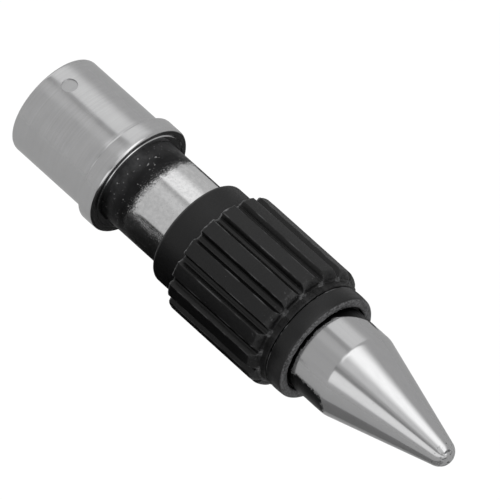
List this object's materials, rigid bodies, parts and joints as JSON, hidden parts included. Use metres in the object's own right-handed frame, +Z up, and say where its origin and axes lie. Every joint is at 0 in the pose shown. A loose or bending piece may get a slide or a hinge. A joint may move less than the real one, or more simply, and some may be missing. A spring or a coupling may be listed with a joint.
{
  "type": "pointed levelling foot",
  "caption": "Screw-adjusted foot: a chrome post in a flanged bush, a ribbed black knob that screws along it, and a swivelling conical steel point.",
  "frame": {"origin": "on the axis, at the face of the bush's flange that seats on the arm", "axes": "+X along the axis from the mounting bush to the point, +Z up as the part lies on its side"},
  "size_m": [0.0709, 0.0174, 0.0174],
  "materials": {
    "bush_steel": "turned, satin",
    "chrome": "bright chrome plate over turned steel, fine scratches and specks",
    "steel": "turned steel",
    "brass": "turned brass",
    "bronze": "sintered bronze",
    "nylon": "natural nylon",
    "grip_black": "moulded black plastic, satin lands, worn edges",
    "collar_black": "moulded black plastic, matte",
    "ring_black": "moulded black plastic, satin, grey granular end face",
    "black_rubber": "black nitrile rubber"
  },
  "bodies": {
    "mount": {"mount_bush": "bush_steel", "post": "chrome", "thread_insert": "brass", "drag_ring": "nylon", "post_pin": "steel", "top_plug": "black_rubber"},
    "ball": {"thrust_ball": "steel"},
    "screw": {"spindle": "steel", "stop_washer": "steel", "stop_screw": "steel", "knob_hub": "steel", "hub_pin": "steel", "guide_liner": "nylon", "grip_sleeve": "grip_black", "rear_collar": "collar_black", "wiper_ring": "black_rubber", "wiper_washer": "steel", "front_ring": "ring_black"},
    "point": {"point": "chrome", "swivel_bush": "bronze", "snap_ring": "steel", "point_seal": "black_rubber"}
  },
  "joints": [
    {"name": "height", "type": "slide", "parent": "mount", "child": "ball", "axis": [1, 0, 0], "range_m": [-0.01, 0.005]},
    {"name": "knob_turn", "type": "hinge", "parent": "ball", "child": "screw", "pos_m": [0.02, 0, 0], "axis": [1, 0, 0], "range_deg": [-2880, 1440]},
    {"name": "point_swivel", "type": "hinge", "parent": "ball", "child": "point", "pos_m": [0.04, 0, 0], "axis": [1, 0, 0], "continuous": true}
  ],
  "couplings": [
    {"joint": "knob_turn", "follows": "height", "rad_per_m": 5026.5}
  ]
}
